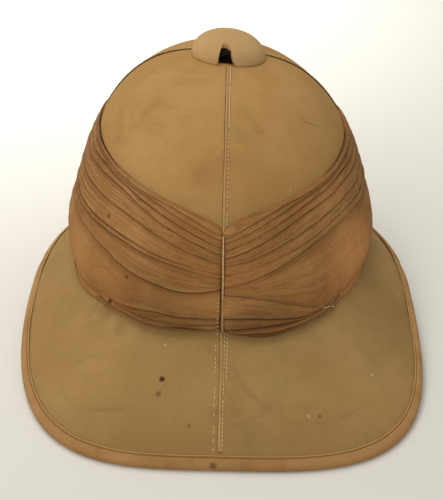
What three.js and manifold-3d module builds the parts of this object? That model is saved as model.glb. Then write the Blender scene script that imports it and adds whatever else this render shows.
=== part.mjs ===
// A sun helmet of pith under khaki cloth, with a wound and folded cloth, the pagri, round its crown.
// Millimetres. +Y is forward, +X the wearer's right, +Z up. The origin is on the surface that the
// helmet rests on, under the middle of its length and width.
import * as THREE from "three";
import { mergeVertices } from "three/addons/utils/BufferGeometryUtils.js";
import Module from "manifold-3d";

const wasm = await Module();
wasm.setup();

// Driving dimensions
const helmetLength = 345;
const helmetWidth = 270;
const clearance = 0.3;
const stations = 56;

// Crown: an oval dome whose top leans a little forward and to the wearer's right
const crownWidth = 204;
const crownLength = 236;
const crownBaseHeight = 52;
const crownApexHeight = 176.5;
const crownWall = 4;
const crownRiseExponent = 2.04;
const crownReachExponent = 2.15;
const crownTopFlattening = 2.8;
const crownBaseForward = 17;
const crownBaseAside = 0.6;
const crownFullerLeft = 3;
const crownTopForward = 15;
const crownTopAside = 1.4;
const crownLean = 0.07;

// Brim: seen from above, its back half is squarer than its front and its right back corner fuller
const brimThickness = 3.5;
const brimWidestForward = -9.6;
const brimBackSideExponent = 3.55;
const brimBackLeftExponent = 2.65;
const brimBackRightExponent = 3.75;
const brimFrontExponent = 1.9;
const brimSideRise = 13.7;
const brimFlareDegrees = 9;
const restingLength = 9;

// Binding tape, folded over the brim's edge
const tapeThickness = 1.2;
const tapeWidth = 8;
const tapeRollFlat = 20;

// Pagri: its foot and top edges dip at the back, and its layers are thickest at the foot
const pagriFootThickness = 6.7;
const pagriTopThickness = 2.4;
const pagriThinsFrom = 0.12;
const pagriThinsTo = 0.62;
const pagriFoldDepth = 1.6;
const pagriTopBack = 111;
const pagriTopSide = 130;
const pagriTopFront = 122;
const pagriFootBack = 47;
const pagriFootSide = 50;
const pagriFootFront = 47;
const pagriFootSag = 4;
const pagriSagTurn = 36;
const pagriBedding = 8;
const pagriEndWidth = 2.6;
const pagriEndThickness = 1;

// Lapped seams of the cloth cover
const seamWidth = 3.6;
const seamAside = 1.8;
const seamThickness = 0.9;
const sideSeamTurn = 104;

// Vent: a domed button over a hole at the top of the crown
const capRadius = 24.5;
const capHeight = 14.5;
const capWall = 1.6;
const archWidth = 10.5;
const archHeight = 9.5;
const collarRadius = 17;
const collarWall = 1;
const collarFlangeWidth = 4;
const collarFlangeThickness = 1.2;

// The pagri's folds from its foot up. Each row gives a fold's height at seven turns, as a share of
// the way from the foot edge to the top edge there, and its depth as a share of the fold depth.
const foldTurns = [0, 45, 90, 180, 270, 315, 360];
const foldColumns = [
  "backRight", "quarterRight", "sideRight", "front", "sideLeft", "quarterLeft", "backLeft", "depth"];
const folds = [
  [0.13, 0.045, 0.07, 0.12, 0.1, 0.12, 0.13, 1],
  [0.36, 0.09, 0.14, 0.25, 0.25, 0.27, 0.25, 0.6],
  [0.45, 0.565, 0.475, 0.41, 0.44, 0.435, 0.35, 1],
  [0.57, 0.64, 0.59, 0.54, 0.54, 0.575, 0.56, 0.5],
  [0.67, 0.705, 0.7, 0.66, 0.7, 0.75, 0.69, 0.6],
  [0.74, 0.815, 0.8, 0.78, 0.83, 0.855, 0.79, 0.8],
  [0.82, 0.89, 0.89, 0.87, 0.905, 0.91, 0.86, 0.6],
  [0.91, 0.96, 0.965, 0.94, 0.965, 0.96, 0.93, 0.8],
].map((row) => Object.fromEntries(foldColumns.map((column, i) => [column, row[i]])));
const lipShare = 0.011;
const pagriHemShare = 0.03;

const mix = (a, b, share) => a + (b - a) * share;
const ease = (share) => {
  const held = THREE.MathUtils.clamp(share, 0, 1);
  return held * held * (3 - 2 * held);
};
const solve = (rises, low, high) => {
  for (let step = 0; step < 40; step++) {
    const middle = (low + high) / 2;
    if (rises(middle) < 0) {
      low = middle;
    } else {
      high = middle;
    }
  }
  return (low + high) / 2;
};

// A turn is in degrees round the crown's middle, from the back by the wearer's right. Every piece is
// drawn in upright sections through that middle, as a reach outwards and a height.
function crownBase(turn) {
  const angle = THREE.MathUtils.degToRad(turn - 90);
  const right = Math.cos(angle);
  const halfWidth = crownWidth / 2 - Math.sign(right) * crownFullerLeft;
  return new THREE.Vector2(halfWidth * right, crownLength / 2 * Math.sin(angle));
}

const direction = (turn) => crownBase(turn).normalize();
const crownBaseReach = (turn) => crownBase(turn).length();

// Puts a point of a section in space, with the crown's lean. Aside is a distance across the section.
function place(turn, reach, height, aside = 0) {
  const out = direction(turn);
  const rise = THREE.MathUtils.clamp(
    (height - crownBaseHeight) / (crownApexHeight - crownBaseHeight), 0, 1);
  const right = out.x * reach - out.y * aside;
  const forward = out.y * reach + out.x * aside;
  return new THREE.Vector3(
    crownBaseAside + crownTopAside * rise + right,
    crownBaseForward + crownTopForward * rise + forward,
    height - crownLean * right * rise * rise);
}

// The crown's outside, from its base at 0 to its apex at 1
function crownPoint(turn, along) {
  const angle = along * Math.PI / 2;
  const rise = Math.sin(angle) ** (2 / crownRiseExponent);
  const height = mix(crownBaseHeight, crownApexHeight, rise) - crownTopFlattening * rise ** 10;
  return new THREE.Vector2(
    crownBaseReach(turn) * Math.cos(angle) ** (2 / crownReachExponent), height);
}

const crownAlongAtHeight = (turn, height) =>
  solve((along) => crownPoint(turn, along).y - height, 0, 1);
const crownAlongAtReach = (turn, reach) =>
  solve((along) => reach - crownPoint(turn, along).x, 0, 1);

function crownInside(turn, along) {
  const step = 0.004;
  const after = crownPoint(turn, Math.min(along + step, 1));
  const slope = after.sub(crownPoint(turn, Math.max(along - step, 0)));
  const inwards = new THREE.Vector2(-slope.y, slope.x).normalize();
  return crownPoint(turn, along).addScaledVector(inwards, crownWall);
}

// The brim's outline seen from above, and how high its edge stands there
function outlineReach(turn) {
  const out = direction(turn);
  const beyond = (reach) => {
    const x = crownBaseAside + out.x * reach;
    const y = crownBaseForward + out.y * reach - brimWidestForward;
    const back = y < 0;
    const depth = helmetLength / 2 + (back ? brimWidestForward : -brimWidestForward);
    const backExponent = x < 0 ? brimBackLeftExponent : brimBackRightExponent;
    return Math.abs(2 * x / helmetWidth) ** (back ? brimBackSideExponent : brimFrontExponent)
      + Math.abs(y / depth) ** (back ? backExponent : brimFrontExponent) - 1;
  };
  return solve(beyond, 0, helmetLength);
}

function edgeHeight(turn) {
  const y = crownBaseForward + direction(turn).y * outlineReach(turn);
  const room = helmetLength / 2 + (y < crownBaseForward ? crownBaseForward : -crownBaseForward);
  const fromEnd = helmetLength / 2 - Math.abs(y);
  const share = THREE.MathUtils.clamp((fromEnd - restingLength) / (room - restingLength), 0, 1);
  return brimSideRise * Math.sin(share * Math.PI / 2) ** 2;
}

// The tape's roll: flat underneath, where it rests
const rollRadius = brimThickness / 2 + clearance + tapeThickness;

// One section of the brim: its outside is a shallow curve, steep at the crown and flatter at the edge
function brimSection(turn) {
  const start = new THREE.Vector2(crownBaseReach(turn), crownBaseHeight - clearance);
  const flat = THREE.MathUtils.degToRad(tapeRollFlat);
  const edge = new THREE.Vector2(
    outlineReach(turn) - rollRadius, edgeHeight(turn) + rollRadius * Math.cos(flat));
  const flare = THREE.MathUtils.degToRad(brimFlareDegrees);
  const slope = Math.atan2(start.y - edge.y, edge.x - start.x) - flare;
  const down = new THREE.Vector2(Math.cos(slope), -Math.sin(slope));
  const up = new THREE.Vector2(Math.sin(slope), Math.cos(slope));
  const end = edge.clone().addScaledVector(up, brimThickness / 2);
  const bend = end.clone().addScaledVector(down, -end.distanceTo(start) / (2 * Math.cos(flare)));
  const curve = new THREE.QuadraticBezierCurve(start, bend, end);
  const skin = (share, lift) => {
    const along = curve.getTangent(share);
    return curve.getPoint(share).addScaledVector(new THREE.Vector2(-along.y, along.x), lift);
  };
  return { edge, slope, down, up, skin, length: curve.getLength() };
}

// A point at a height on the outside of crown and brim, lifted: level off the crown, and square to
// the brim by the time that the point is one bedding depth below the crown
function bodyPoint(turn, height, lift) {
  const level = new THREE.Vector2(1, 0);
  if (height >= crownBaseHeight - clearance) {
    const along = crownAlongAtHeight(turn, Math.max(height, crownBaseHeight));
    return new THREE.Vector2(crownPoint(turn, along).x, height).addScaledVector(level, lift);
  }
  const { skin } = brimSection(turn);
  const share = solve((along) => height - skin(along, 0).y, 0, 1);
  const square = skin(share, 1).sub(skin(share, 0));
  const below = (crownBaseHeight - clearance - height) / pagriBedding;
  return skin(share, 0).addScaledVector(level.lerp(square, Math.min(below, 1)).normalize(), lift);
}

// Closed meshes through sections of points. Going round they join up, or else both ends are capped.
function lofted(sections, round) {
  const size = sections[0].length;
  const positions = sections.flat().flatMap((point) => point.toArray());
  const index = [];
  const spans = round ? sections.length : sections.length - 1;
  for (let i = 0; i < spans; i++) {
    const here = i * size;
    const next = ((i + 1) % sections.length) * size;
    for (let j = 0; j < size; j++) {
      const k = (j + 1) % size;
      index.push(here + j, next + j, next + k, here + j, next + k, here + k);
    }
  }
  const geometry = new THREE.BufferGeometry();
  geometry.setAttribute("position", new THREE.Float32BufferAttribute(positions, 3));
  geometry.setIndex(index);
  return geometry;
}

function capped(sections, flats) {
  const geometry = lofted(sections, false);
  const index = [...geometry.index.array];
  const last = (sections.length - 1) * sections[0].length;
  for (const [a, b, c] of THREE.ShapeUtils.triangulateShape(flats[0], [])) {
    index.push(a, b, c);
  }
  for (const [a, b, c] of THREE.ShapeUtils.triangulateShape(flats[1], [])) {
    index.push(last + a, last + c, last + b);
  }
  geometry.setIndex(index);
  return geometry;
}

// Sections run anticlockwise as seen with outwards to the right, from station to station by the right
function ringOf(section) {
  const sections = [];
  for (let i = 0; i < stations; i++) {
    const turn = 360 * i / stations;
    sections.push(section(turn).map((point) => place(turn, point.x, point.y)));
  }
  return lofted(sections, true);
}

const steps = (count, from, to) =>
  Array.from({ length: count + 1 }, (_, i) => mix(from, to, i / count));

function crown() {
  const rows = 11;
  const hole = collarRadius + clearance;
  return ringOf((turn) => {
    const end = crownAlongAtReach(turn, hole);
    const outside = steps(rows, 0, end).map((along) => crownPoint(turn, along));
    const inside = steps(rows - 2, 0, end).map((along) => crownInside(turn, along));
    const rim = inside.pop();
    return [...outside, new THREE.Vector2(hole, rim.y), ...inside.reverse()];
  });
}

function brim() {
  const rows = 7;
  return ringOf((turn) => {
    const { skin } = brimSection(turn);
    const under = steps(rows - 3, 0, 1).map((share) => skin(share, -brimThickness));
    const top = steps(rows, 1, 0).map((share) => skin(share, 0));
    const inner = crownBaseReach(turn) - crownWall;
    const shelf = crownBaseHeight - clearance;
    return [
      new THREE.Vector2(inner, shelf), new THREE.Vector2(inner, shelf - brimThickness / 2),
      ...under, ...top,
    ];
  });
}

function binding() {
  const inner = brimThickness / 2 + clearance;
  return ringOf((turn) => {
    const { edge, slope, down, up } = brimSection(turn);
    const leg = (lift, back) => edge.clone().addScaledVector(up, lift).addScaledVector(down, -back);
    const roll = (degrees) => {
      const angle = THREE.MathUtils.degToRad(degrees);
      const out = new THREE.Vector2(Math.cos(angle), Math.sin(angle));
      return edge.clone().addScaledVector(out, rollRadius);
    };
    const under = -90 - THREE.MathUtils.radToDeg(slope);
    const flat = [-90 - tapeRollFlat, -90 + tapeRollFlat];
    return [
      leg(-rollRadius, tapeWidth), roll(under), roll(flat[0]), roll(flat[1]), roll(flat[1] / 2),
      roll(0), roll(under + 180), leg(rollRadius, tapeWidth),
      leg(inner, tapeWidth), leg(inner, -clearance),
      leg(-inner, -clearance), leg(-inner, tapeWidth),
    ];
  });
}

// The heights of the pagri's edges, and of a fold, by the turn
function pagriTop(turn) {
  const fromBack = Math.min(turn, 360 - turn);
  return fromBack < 90
    ? mix(pagriTopBack, pagriTopSide, (fromBack / 90) ** 0.45)
    : mix(pagriTopSide, pagriTopFront, ease((fromBack - 90) / 50));
}

function pagriFoot(turn) {
  const fromBack = Math.min(turn, 360 - turn);
  const sagging = Math.sin(Math.PI * Math.min(turn / pagriSagTurn, 1)) ** 2;
  return fromBack < 90
    ? mix(pagriFootBack, pagriFootSide, ease(fromBack / 90)) - pagriFootSag * sagging
    : mix(pagriFootSide, pagriFootFront, ease((fromBack - 90) / 90));
}

function foldShare(fold, turn) {
  const column = foldTurns.findIndex((start, i) => turn <= foldTurns[i + 1]);
  const within = (turn - foldTurns[column]) / (foldTurns[column + 1] - foldTurns[column]);
  return mix(fold[foldColumns[column]], fold[foldColumns[column + 1]], ease(within));
}

function pagriThickness(share) {
  const thinned = (share - pagriThinsFrom) / (pagriThinsTo - pagriThinsFrom);
  return mix(pagriFootThickness, pagriTopThickness, ease(thinned));
}

// The pagri's outside from foot to top, each row a share of its height and its lift off the body
function pagriRows(turn) {
  const rows = [[0, clearance], [0, pagriFootThickness / 2], [pagriHemShare, pagriFootThickness]];
  folds.forEach((fold, i) => {
    const share = foldShare(fold, turn);
    const nextShare = i + 1 < folds.length ? foldShare(folds[i + 1], turn) : 1;
    const half = pagriFoldDepth * fold.depth / 2;
    const belly = mix(share, nextShare, 0.6);
    rows.push([share, pagriThickness(share) - half]);
    rows.push([share + lipShare, pagriThickness(share) + half]);
    rows.push([belly, pagriThickness(belly)]);
  });
  rows.push([1, pagriTopThickness / 2]);
  return rows;
}

function pagriPoint(turn, share, lift) {
  return bodyPoint(turn, mix(pagriFoot(turn), pagriTop(turn), share), lift);
}

function pagri() {
  const parting = THREE.MathUtils.radToDeg(clearance / crownLength);
  const sections = [];
  const flats = [];
  for (let i = 0; i <= stations; i++) {
    const turn = mix(parting, 360 - parting, i / stations);
    const outside = pagriRows(turn).map(([share, lift]) => pagriPoint(turn, share, lift));
    const inside = steps(8, 1, 0).slice(0, -1).map((share) => pagriPoint(turn, share, clearance));
    const section = [...outside, ...inside];
    sections.push(section.map((point) => place(turn, point.x, point.y)));
    flats.push(section);
  }
  return capped(sections, [flats[0], flats.at(-1)]);
}

// A flat strip that runs up a section, between pairs of inner and outer points
function strip(turn, width, aside, points) {
  const half = width / 2;
  const sections = points.map(([low, high]) => [
    place(turn, low.x, low.y, aside - half), place(turn, low.x, low.y, aside + half),
    place(turn, high.x, high.y, aside + half), place(turn, high.x, high.y, aside - half),
  ]);
  const box = [[-half, 0], [half, 0], [half, 1], [-half, 1]].map(([x, y]) => new THREE.Vector2(x, y));
  return capped(sections, [box, box]);
}

// How high a pagri edge runs at a seam's width to each side of a turn, along its straight facets
function edgeBeside(edge, turn) {
  const span = 360 / stations;
  const share = 2 * seamWidth / (crownBaseReach(turn) * THREE.MathUtils.degToRad(span));
  return [turn + span, (turn + 360 - span) % 360].map((next) => mix(edge(turn), edge(next), share));
}

function crownSeam(turn, aside) {
  const bottom = Math.max(pagriTop(turn), ...edgeBeside(pagriTop, turn)) + clearance;
  const ends = [crownAlongAtHeight(turn, bottom), crownAlongAtReach(turn, capRadius + clearance)];
  const outwards = (along) => crownPoint(turn, along).sub(crownInside(turn, along)).normalize();
  return strip(turn, seamWidth, aside, steps(12, ...ends).map((along) => [
    crownPoint(turn, along).addScaledVector(outwards(along), clearance),
    crownPoint(turn, along).addScaledVector(outwards(along), clearance + seamThickness),
  ]));
}

function brimSeam(turn, aside) {
  const { skin, length } = brimSection(turn);
  const top = Math.min(pagriFoot(turn), ...edgeBeside(pagriFoot, turn)) - clearance;
  const from = solve((share) => top - skin(share, 0).y, 0, 1);
  const to = 1 - (tapeWidth + clearance) / length;
  return strip(turn, seamWidth, aside, steps(6, to, from).map((share) => [
    skin(share, clearance), skin(share, clearance + seamThickness),
  ]));
}

function pagriEnd() {
  return strip(0, pagriEndWidth, seamAside, steps(14, pagriHemShare, 1).map((share) => {
    const lift = pagriThickness(share) + pagriFoldDepth / 2 + 2 * clearance;
    return [pagriPoint(0, share, lift), pagriPoint(0, share, lift + pagriEndThickness)];
  }));
}

// Round pieces on the crown's top are turned, then set on the crown's own curve
function turnedOnCrown(profile, baseHeight) {
  const geometry = new THREE.LatheGeometry(profile, 32);
  const position = geometry.attributes.position;
  for (let i = 0; i < position.count; i++) {
    const reach = Math.hypot(position.getX(i), position.getZ(i));
    const turn = THREE.MathUtils.radToDeg(Math.atan2(position.getZ(i), position.getX(i))) + 90;
    const point = place(turn, reach, baseHeight(turn, position.getY(i)));
    position.setXYZ(i, point.x, point.y, point.z);
  }
  return geometry;
}

function solidOf(geometry) {
  const bare = geometry.clone();
  bare.deleteAttribute("normal");
  bare.deleteAttribute("uv");
  const merged = mergeVertices(bare, 1e-3);
  const corners = merged.index.array;
  const kept = [];
  for (let i = 0; i < corners.length; i += 3) {
    const [a, b, c] = corners.slice(i, i + 3);
    if (a !== b && b !== c && a !== c) kept.push(a, b, c);
  }
  return new wasm.Manifold(new wasm.Mesh({
    numProp: 3,
    vertProperties: merged.attributes.position.array,
    triVerts: Uint32Array.from(kept),
  }));
}

function geometryOf(solid) {
  const mesh = solid.getMesh();
  const geometry = new THREE.BufferGeometry();
  geometry.setAttribute("position", new THREE.BufferAttribute(mesh.vertProperties, 3));
  geometry.setIndex(new THREE.BufferAttribute(mesh.triVerts, 1));
  return geometry;
}

// The cap's dome, as a height over its foot for each reach
const domeHeight = (reach, radius, height) => height * Math.sqrt(1 - (reach / radius) ** 2);

// The foot of a round piece lies on the crown's curve, and its top is level
function seatHeight(turn, height) {
  const seat = (there) => crownPoint(there, crownAlongAtReach(there, capRadius - capWall)).y + clearance;
  return mix(seat(turn), seat(0), Math.min(height / (capHeight - capWall), 1)) + height;
}

function archCut(wide, high) {
  const arch = new THREE.Shape();
  const shoulder = high - wide / 2;
  arch.moveTo(-wide / 2, -high);
  arch.lineTo(wide / 2, -high);
  arch.lineTo(wide / 2, shoulder);
  arch.absarc(0, shoulder, wide / 2, 0, Math.PI, false);
  arch.closePath();
  const cut = new THREE.ExtrudeGeometry(
    arch, { depth: 4 * capRadius, bevelEnabled: false, curveSegments: 6 });
  const middle = place(0, 0, seatHeight(0, 0));
  cut.rotateX(Math.PI / 2);
  cut.rotateY(Math.atan(crownLean));
  cut.translate(middle.x, middle.y + 2 * capRadius, middle.z);
  return solidOf(cut);
}

function ventCap() {
  const rows = 7;
  const inner = capRadius - capWall;
  const angles = steps(rows, 0, Math.PI / 2);
  const outside = angles.map((angle) =>
    new THREE.Vector2(capRadius * Math.cos(angle), capHeight * Math.sin(angle)));
  const inside = angles.map((angle) =>
    new THREE.Vector2(inner * Math.cos(angle), (capHeight - capWall) * Math.sin(angle)));
  outside[rows].x = 0;
  inside[rows].x = 0;
  const dome = solidOf(turnedOnCrown([...outside.reverse(), ...inside], seatHeight));
  return geometryOf(dome.subtract(archCut(archWidth, archHeight)));
}

function ventCollar() {
  const outer = collarRadius;
  const inner = collarRadius - collarWall;
  const top = domeHeight(outer, capRadius - capWall, capHeight - capWall) - clearance;
  const flange = collarRadius + collarFlangeWidth;
  const underCrown = crownInside(90, crownAlongAtReach(90, flange)).y - seatHeight(0, 0) - clearance;
  const profile = [
    [inner, underCrown - collarFlangeThickness], [inner, top], [outer, top], [outer, underCrown],
    [flange, underCrown], [flange, underCrown - collarFlangeThickness],
    [inner, underCrown - collarFlangeThickness],
  ].map(([x, y]) => new THREE.Vector2(x, y));
  const ring = solidOf(turnedOnCrown(profile, (turn, height) => seatHeight(0, 0) + height));
  return geometryOf(ring.subtract(archCut(archWidth, archHeight - 2 * capWall)));
}

const helmet = new THREE.Group();
const khaki = { color: 0xae8553, roughness: 0.9, metalness: 0 };
const tape = { color: 0x9e7746, roughness: 0.9, metalness: 0 };
const tan = { color: 0x8e6438, roughness: 0.92, metalness: 0 };
const metal = { color: 0x8f8f8a, roughness: 0.5, metalness: 0.8 };

function piece(name, geometry, finish) {
  const mesh = new THREE.Mesh(geometry, new THREE.MeshStandardMaterial(finish));
  mesh.name = name;
  helmet.add(mesh);
}

piece("crown", crown(), khaki);
piece("brim", brim(), khaki);
piece("brim_binding", binding(), tape);
piece("crown_seam_back", crownSeam(0, seamAside), khaki);
piece("crown_seam_right", crownSeam(sideSeamTurn, 0), khaki);
piece("crown_seam_front", crownSeam(180, -seamAside), khaki);
piece("crown_seam_left", crownSeam(360 - sideSeamTurn, 0), khaki);
piece("brim_seam_back", brimSeam(0, seamAside), khaki);
piece("brim_seam_front", brimSeam(180, -seamAside), khaki);
piece("pagri", pagri(), tan);
piece("pagri_end", pagriEnd(), tan);
piece("vent_cap", ventCap(), khaki);
piece("vent_collar", ventCollar(), metal);

export default helmet;
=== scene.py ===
from bisect import bisect_right
from functools import lru_cache
from math import asin, atan2, copysign, cos, degrees, exp, floor, hypot, pi, radians, sin, sqrt

import bmesh
import bpy
from mathutils import Matrix, Vector, noise


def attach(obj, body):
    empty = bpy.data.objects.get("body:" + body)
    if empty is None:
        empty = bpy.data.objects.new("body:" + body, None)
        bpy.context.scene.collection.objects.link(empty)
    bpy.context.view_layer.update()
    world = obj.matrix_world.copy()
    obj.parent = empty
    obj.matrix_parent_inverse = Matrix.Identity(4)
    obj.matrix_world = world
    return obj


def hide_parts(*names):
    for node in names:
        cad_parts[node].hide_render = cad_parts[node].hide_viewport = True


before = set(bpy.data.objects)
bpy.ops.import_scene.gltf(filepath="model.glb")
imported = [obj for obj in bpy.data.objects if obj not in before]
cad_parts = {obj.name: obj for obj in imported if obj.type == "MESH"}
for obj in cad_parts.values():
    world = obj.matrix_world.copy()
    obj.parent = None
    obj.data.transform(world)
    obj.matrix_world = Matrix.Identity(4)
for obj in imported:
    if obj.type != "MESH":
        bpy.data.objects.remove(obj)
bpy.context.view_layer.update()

# Crown. The real one is a dome of pith, built up in layers on a block, about 4 mm thick, with
# cotton drill stretched over it in four gores and glued down. Its inside stays plain. Sizes are
# in millimetres. A turn is in degrees round the crown, from the back by the wearer's right.
crown_half_width = 102
crown_half_length = 118
crown_fuller_left = 3
crown_base_height = 52
crown_apex_height = 176.5
crown_wall = 4
crown_rise_exponent = 2.04
crown_reach_exponent = 2.15
crown_top_flattening = 2.8
crown_base_aside = 0.6
crown_base_forward = 17
crown_top_aside = 1.4
crown_top_forward = 15
crown_lean = 0.07
vent_hole_radius = 17.3
cloth_clearance = 0.3
side_seam_turn = 104
gore_edges = (0, side_seam_turn, 180, 360 - side_seam_turn, 360)
drill_rib_lean = 0.45
drill_yarn_pitch = 0.9


def mix(low, high, share):
    return low + (high - low) * share


def held(share):
    return min(max(share, 0), 1)


def ease(share):
    return held(share) ** 2 * (3 - 2 * held(share))


def steps(count, low, high):
    return [mix(low, high, i / count) for i in range(count + 1)]


def solve(rises, low, high):
    for _ in range(34):
        middle = (low + high) / 2
        if rises(middle) < 0:
            low = middle
        else:
            high = middle
    return (low + high) / 2


def rough(x, y, z, size, seed=0):
    return noise.noise(Vector((x / size + seed, y / size - seed, z / size + 2 * seed)))


def hump(away, width, power=2):
    """1 where away is 0, and hardly anything from two widths off"""
    return exp(-(away / width) ** power)


@lru_cache(None)
def crown_base(turn):
    angle = radians(turn - 90)
    half_width = crown_half_width - copysign(crown_fuller_left, cos(angle))
    x, y = half_width * cos(angle), crown_half_length * sin(angle)
    reach = hypot(x, y)
    return x / reach, y / reach, reach


def place(turn, reach, height, aside=0.0):
    out_x, out_y, _ = crown_base(turn)
    rise = held((height - crown_base_height) / (crown_apex_height - crown_base_height))
    right = out_x * reach - out_y * aside
    forward = out_y * reach + out_x * aside
    return Vector((
        crown_base_aside + crown_top_aside * rise + right,
        crown_base_forward + crown_top_forward * rise + forward,
        height - crown_lean * right * rise * rise)) / 1000


def crown_point(turn, along):
    angle = along * pi / 2
    rise = sin(angle) ** (2 / crown_rise_exponent)
    height = mix(crown_base_height, crown_apex_height, rise) - crown_top_flattening * rise ** 10
    return Vector((crown_base(turn)[2] * max(cos(angle), 0) ** (2 / crown_reach_exponent), height))


def crown_square(turn, along):
    slope = crown_point(turn, min(along + 0.004, 1)) - crown_point(turn, max(along - 0.004, 0))
    return Vector((slope.y, -slope.x)).normalized()


def crown_along_at_reach(turn, reach):
    return solve(lambda along: reach - crown_point(turn, along).x, 0, 1)


def azimuth(turn):
    out_x, out_y, _ = crown_base(turn)
    return atan2(out_x, -out_y) % (2 * pi)


def new_object(name, mesh_maker):
    mesh = bpy.data.meshes.new(name)
    mesh_maker.to_mesh(mesh)
    mesh_maker.free()
    piece = bpy.data.objects.new(name, mesh)
    bpy.context.scene.collection.objects.link(piece)
    for polygon in mesh.polygons:
        polygon.use_smooth = True
    return piece


def woven(columns, rows, spot, thread, tints=None):
    """A sheet of columns by rows. spot and thread give a corner's place and its lie on the cloth."""
    cloth = bmesh.new()
    bmesh.ops.create_grid(cloth, x_segments=len(columns) - 1, y_segments=rows, size=1)
    lie = cloth.loops.layers.uv.new("weave")
    tint = {key: cloth.verts.layers.float.new(key) for key in (tints or {})}
    at = {}
    for corner in cloth.verts:
        column = round((corner.co.x + 1) / 2 * (len(columns) - 1))
        at[corner] = (column, round((corner.co.y + 1) / 2 * rows))
    for face in cloth.faces:
        middle = sum(at[loop.vert][0] for loop in face.loops) / len(face.loops)
        for loop in face.loops:
            column, row = at[loop.vert]
            loop[lie].uv = thread(columns[column], row, columns[floor(middle)])
    for corner, (column, row) in at.items():
        corner.co = spot(columns[column], row)
        for key, layer in tint.items():
            corner[layer] = tints[key](columns[column], row)
    bmesh.ops.remove_doubles(cloth, verts=cloth.verts, dist=1e-7)
    return cloth


def close_ends(cloth):
    bmesh.ops.holes_fill(cloth, edges=[edge for edge in cloth.edges if edge.is_boundary])


def settle(piece, finish, slot, *node_names):
    """Gives a piece its finish and its body, and hides the nodes of the frame that it stands for; slot is
    not used
    """
    piece.data.materials.append(finish.material)
    for node_name in node_names:
        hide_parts(node_name)
    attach(piece, "root")


class Reading:
    """One socket of a finish, with the sums that a pattern is written in"""

    def __init__(self, finish, socket):
        self.finish, self.socket = finish, socket

    def reckon(self, operation, *others):
        return self.finish.node("ShaderNodeMath", {"operation": operation}, [self, *others])

    def __add__(self, other):
        return self.reckon("ADD", other)

    def __sub__(self, other):
        return self.reckon("SUBTRACT", other)

    def __mul__(self, other):
        return self.reckon("MULTIPLY", other)


def tone(swatch):
    """A colour as the eye reads it from a swatch, on a scale of 255"""
    return tuple(((part / 255 + 0.055) / 1.055) ** 2.4 if part > 10 else part / 255 / 12.92
                 for part in swatch) + (1.0,)


class Finish:
    """A material: one base colour, and what is laid over it"""

    def __init__(self, name, roughness, base, sheen=0.0):
        self.material = bpy.data.materials.new(name)
        self.material.use_nodes = True
        self.tree = self.material.node_tree
        self.shader = self.tree.nodes["Principled BSDF"]
        self.shader.inputs["Roughness"].default_value = roughness
        self.shader.inputs["Specular IOR Level"].default_value = 0.15
        self.shader.inputs["Sheen Weight"].default_value = sheen
        self.shader.inputs["Sheen Roughness"].default_value = 0.5
        self.colour = tone(base)
        self.feed("Base Color", self.colour)

    def node(self, kind, settings=None, values=(), result=0):
        made = self.tree.nodes.new(kind)
        for key, value in (settings or {}).items():
            setattr(made, key, value)
        pairs = values.items() if isinstance(values, dict) else enumerate(values)
        for key, value in pairs:
            self.set(made.inputs[key], value)
        return Reading(self, made.outputs[result])

    def set(self, socket, value):
        if isinstance(value, Reading):
            self.tree.links.new(value.socket, socket)
        else:
            socket.default_value = value

    def feed(self, name, value):
        self.set(self.shader.inputs[name], value)

    def lie(self):
        weave = self.node("ShaderNodeUVMap", {"uv_map": "weave"})
        parts = self.node("ShaderNodeSeparateXYZ", None, [weave])
        return parts, Reading(self, parts.socket.node.outputs[1])

    def at(self):
        return self.node("ShaderNodeTexCoord", result="Object")

    def attribute(self, name):
        return self.node("ShaderNodeAttribute", {"attribute_name": name}, result="Fac")

    def cloud(self, where, scale, detail=3.0, rough_share=0.55, warp=0.0):
        return self.node("ShaderNodeTexNoise", None, {
            "Vector": where, "Scale": scale, "Detail": detail, "Roughness": rough_share,
            "Distortion": warp})

    def drawn(self, across_scale, along_scale, *cloud):
        """A cloud drawn out along the weave"""
        across, along = self.lie()
        where = self.node("ShaderNodeCombineXYZ", None, [across * across_scale, along * along_scale, 0.0])
        return self.cloud(where, 1.0, *cloud)

    def stretched(self, where, scale):
        return self.node("ShaderNodeVectorMath", {"operation": "MULTIPLY"}, [where, scale])

    def away(self, where, middle):
        return self.node("ShaderNodeVectorMath", {"operation": "DISTANCE"},
                         [where, tuple(part / 1000 for part in middle)], result="Value")

    def band(self, value, low, high, start=0.0, end=1.0):
        return self.node("ShaderNodeMapRange", {"interpolation_type": "SMOOTHSTEP"}, {
            "Value": value, "From Min": low, "From Max": high, "To Min": start, "To Max": end})

    def below(self, axis, low, high):
        """1 below low on the object's axis and 0 above high, in millimetres"""
        part = self.node("ShaderNodeSeparateXYZ", None, [self.at()], result=axis)
        return self.band(part, low / 1000, high / 1000, 1, 0)

    def blend(self, share, first, second):
        made = self.node("ShaderNodeMix", {"data_type": "RGBA"}, result=2)
        sockets = made.socket.node.inputs
        for socket, value in zip((sockets[0], sockets[6], sockets[7]), (share, first, second)):
            self.set(socket, value)
        return made

    def lay(self, share, swatch):
        """Lays a colour over what is there, as far as share goes"""
        self.colour = self.blend(share, self.colour, tone(swatch))
        self.feed("Base Color", self.colour)

    def mark(self, middle, radius, soft, strength, swatch):
        """Lays a round mark over the colour, which fades from a soft share of its radius"""
        away = self.away(self.at(), middle)
        self.lay(self.band(away, radius / 1000 * soft, radius / 1000, 1, 0) * strength, swatch)

    def relief(self, height, depth, strength=1.0, under=None):
        values = {"Height": height, "Distance": depth / 1000, "Strength": strength}
        if under:
            values["Normal"] = under
        return self.node("ShaderNodeBump", None, values)


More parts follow.
